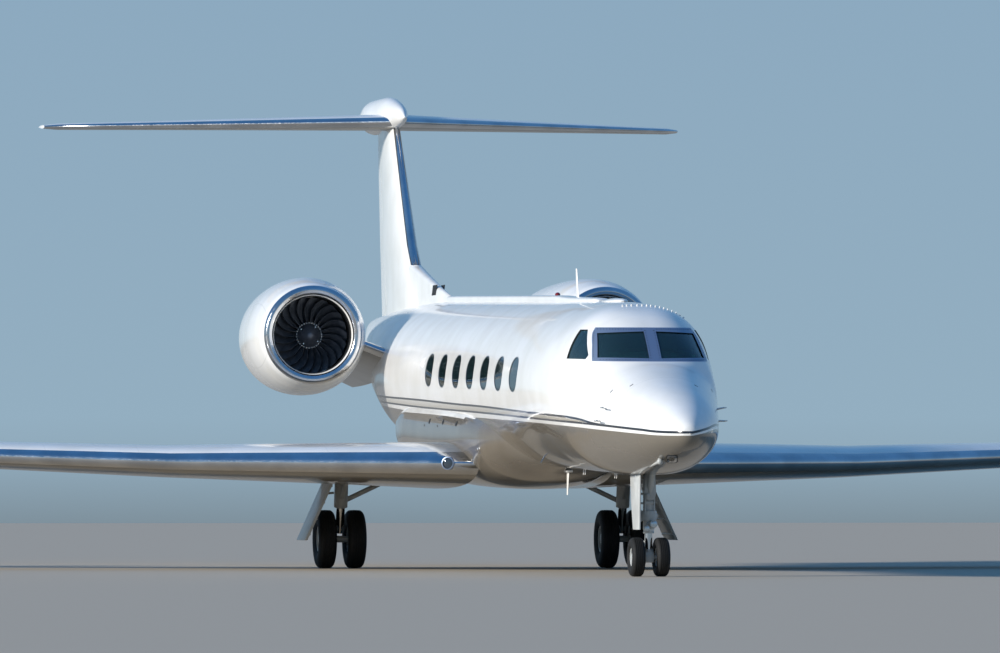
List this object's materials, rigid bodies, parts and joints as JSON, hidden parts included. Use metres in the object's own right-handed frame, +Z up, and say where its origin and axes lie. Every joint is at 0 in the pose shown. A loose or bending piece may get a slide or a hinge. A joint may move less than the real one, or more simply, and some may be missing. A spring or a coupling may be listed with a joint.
{
  "type": "business jet",
  "caption": "Large twin-engined business jet parked on its gear: swept low wing with winglets, T-tail, rear engines, oval cabin windows, airstair door, turning wheels and fans.",
  "frame": {"origin": "middle of the length and span, on the ground under the aircraft", "axes": "+Z up, -Y toward the nose, +X toward the aircraft's port side"},
  "size_m": [28.496, 29.39, 7.6466],
  "materials": {
    "white_paint": "gloss white paint",
    "belly_paint": "gloss grey-beige paint",
    "bare_metal": "polished bare metal",
    "frame_metal": "brushed bare metal",
    "glass": "tinted glazing",
    "tyre": "dull black rubber",
    "gear_paint": "satin light grey paint",
    "dark_metal": "dark metal",
    "interior": "matt"
  },
  "bodies": {
    "airframe": {"radome": "white_paint", "cockpit_section": "white_paint", "windscreen_frame": "frame_metal", "windscreen_glass": "glass", "glareshield": "interior", "cabin_section": "white_paint", "tail_cone": "white_paint", "spine_fairing": "white_paint", "belly_fairing": "belly_paint", "fin": "white_paint", "tail_bullet": "white_paint", "tailplane": "white_paint", "nose_leg": "gear_paint", "nose_leg_door": "belly_paint", "cabin_glass_port": "glass", "cabin_glass_starboard": "glass", "wing_port": "white_paint", "wing_starboard": "white_paint", "winglet_port": "white_paint", "winglet_starboard": "white_paint", "pylon_port": "white_paint", "pylon_starboard": "white_paint", "inlet_lip_port": "bare_metal", "inlet_lip_starboard": "bare_metal", "cowl_port": "white_paint", "cowl_starboard": "white_paint", "nozzle_port": "bare_metal", "nozzle_starboard": "bare_metal", "engine_core_port": "dark_metal", "engine_core_starboard": "dark_metal", "main_leg_port": "gear_paint", "main_leg_starboard": "gear_paint", "main_door_port": "belly_paint", "main_door_starboard": "belly_paint"},
    "entry_door_body": {"entry_door": "white_paint"},
    "flap_inner_port_body": {"flap_inner_port": "white_paint"},
    "flap_inner_starboard_body": {"flap_inner_starboard": "white_paint"},
    "flap_outer_port_body": {"flap_outer_port": "white_paint"},
    "flap_outer_starboard_body": {"flap_outer_starboard": "white_paint"},
    "aileron_port_body": {"aileron_port": "white_paint"},
    "aileron_starboard_body": {"aileron_starboard": "white_paint"},
    "elevator_port_body": {"elevator_port": "white_paint"},
    "elevator_starboard_body": {"elevator_starboard": "white_paint"},
    "spoiler_port_body": {"spoiler_port": "white_paint"},
    "spoiler_starboard_body": {"spoiler_starboard": "white_paint"},
    "rudder_body": {"rudder": "white_paint"},
    "fan_port_body": {"fan_port": "dark_metal"},
    "fan_starboard_body": {"fan_starboard": "dark_metal"},
    "nose_steering_body": {"nose_piston": "bare_metal"},
    "nose_wheels_body": {"nose_hubs": "gear_paint", "nose_tyre_port": "tyre", "nose_tyre_starboard": "tyre"},
    "main_wheels_port_body": {"main_hubs_port": "gear_paint", "main_tyre_inner_port": "tyre", "main_tyre_outer_port": "tyre"},
    "main_wheels_starboard_body": {"main_hubs_starboard": "gear_paint", "main_tyre_inner_starboard": "tyre", "main_tyre_outer_starboard": "tyre"}
  },
  "joints": [
    {"name": "entry_door_hinge", "type": "hinge", "parent": "airframe", "child": "entry_door_body", "pos_m": [0.93179, -10.075, 1.88027], "axis": [0.002, 0.9997, 0.0235], "range_deg": [0, 140]},
    {"name": "flap_inner_port_hinge", "type": "hinge", "parent": "airframe", "child": "flap_inner_port_body", "pos_m": [5.06, 1.775, 1.43332], "axis": [-0.9923, 0.1159, -0.0443], "range_deg": [0, 39]},
    {"name": "flap_inner_starboard_hinge", "type": "hinge", "parent": "airframe", "child": "flap_inner_starboard_body", "pos_m": [-1.72, 2.165, 1.28417], "axis": [-0.9923, -0.1159, 0.0443], "range_deg": [0, 39]},
    {"name": "flap_outer_port_hinge", "type": "hinge", "parent": "airframe", "child": "flap_outer_port_body", "pos_m": [8.93, 3.105, 1.63467], "axis": [-0.9376, -0.3438, -0.0512], "range_deg": [0, 39]},
    {"name": "flap_outer_starboard_hinge", "type": "hinge", "parent": "airframe", "child": "flap_outer_starboard_body", "pos_m": [-5.33, 1.785, 1.43829], "axis": [-0.9376, 0.3438, 0.0512], "range_deg": [0, 39]},
    {"name": "aileron_port_hinge", "type": "hinge", "parent": "airframe", "child": "aileron_port_body", "pos_m": [12.7, 4.465, 1.88507], "axis": [-0.9442, -0.3268, -0.0401], "range_deg": [-11, 11]},
    {"name": "aileron_starboard_hinge", "type": "hinge", "parent": "airframe", "child": "aileron_starboard_body", "pos_m": [-9.32, 3.295, 1.74154], "axis": [-0.9442, 0.3268, 0.0401], "range_deg": [-11, 11]},
    {"name": "elevator_port_hinge", "type": "hinge", "parent": "airframe", "child": "elevator_port_body", "pos_m": [5.02, 14.025, 7.25084], "axis": [-0.8936, -0.4488, -0.0021], "range_deg": [-24, 13]},
    {"name": "elevator_starboard_hinge", "type": "hinge", "parent": "airframe", "child": "elevator_starboard_body", "pos_m": [-0.56, 11.785, 7.2406], "axis": [-0.8936, 0.4488, 0.0021], "range_deg": [-24, 13]},
    {"name": "spoiler_port_hinge", "type": "hinge", "parent": "airframe", "child": "spoiler_port_body", "pos_m": [5.52, 1.205, 1.75676], "axis": [0.938, 0.3445, 0.0387], "range_deg": [0, 55]},
    {"name": "spoiler_starboard_hinge", "type": "hinge", "parent": "airframe", "child": "spoiler_starboard_body", "pos_m": [-8.76, 2.395, 1.89032], "axis": [0.938, -0.3445, -0.0387], "range_deg": [0, 55]},
    {"name": "rudder_hinge", "type": "hinge", "parent": "airframe", "child": "rudder_body", "pos_m": [0, 10.825, 4.23], "axis": [0, 0.2812, 0.9596], "range_deg": [-22, 22]},
    {"name": "fan_port_spin", "type": "hinge", "parent": "airframe", "child": "fan_port_body", "pos_m": [2.27144, 4.75413, 3.6], "axis": [-0.0454, 0.999, 0], "continuous": true},
    {"name": "fan_starboard_spin", "type": "hinge", "parent": "airframe", "child": "fan_starboard_body", "pos_m": [-2.27144, 4.75413, 3.6], "axis": [0.0454, 0.999, 0], "continuous": true},
    {"name": "nose_steering", "type": "hinge", "parent": "airframe", "child": "nose_steering_body", "pos_m": [0, -11.695, 0.5], "axis": [0, 0, 1], "range_deg": [-80, 80]},
    {"name": "nose_wheels_spin", "type": "hinge", "parent": "nose_steering_body", "child": "nose_wheels_body", "pos_m": [0, -11.695, 0.2667], "axis": [1, 0, 0], "continuous": true},
    {"name": "main_wheels_port_spin", "type": "hinge", "parent": "airframe", "child": "main_wheels_port_body", "pos_m": [2.185, 2.025, 0.4445], "axis": [1, 0, 0], "continuous": true},
    {"name": "main_wheels_starboard_spin", "type": "hinge", "parent": "airframe", "child": "main_wheels_starboard_body", "pos_m": [-2.185, 2.025, 0.4445], "axis": [1, 0, 0], "continuous": true}
  ],
  "couplings": [
    {"joint": "flap_inner_starboard_hinge", "follows": "flap_inner_port_hinge", "ratio": 1},
    {"joint": "flap_outer_port_hinge", "follows": "flap_inner_port_hinge", "ratio": 1},
    {"joint": "flap_outer_starboard_hinge", "follows": "flap_inner_port_hinge", "ratio": 1},
    {"joint": "aileron_starboard_hinge", "follows": "aileron_port_hinge", "ratio": -1},
    {"joint": "elevator_starboard_hinge", "follows": "elevator_port_hinge", "ratio": 1},
    {"joint": "spoiler_starboard_hinge", "follows": "spoiler_port_hinge", "ratio": 1}
  ]
}
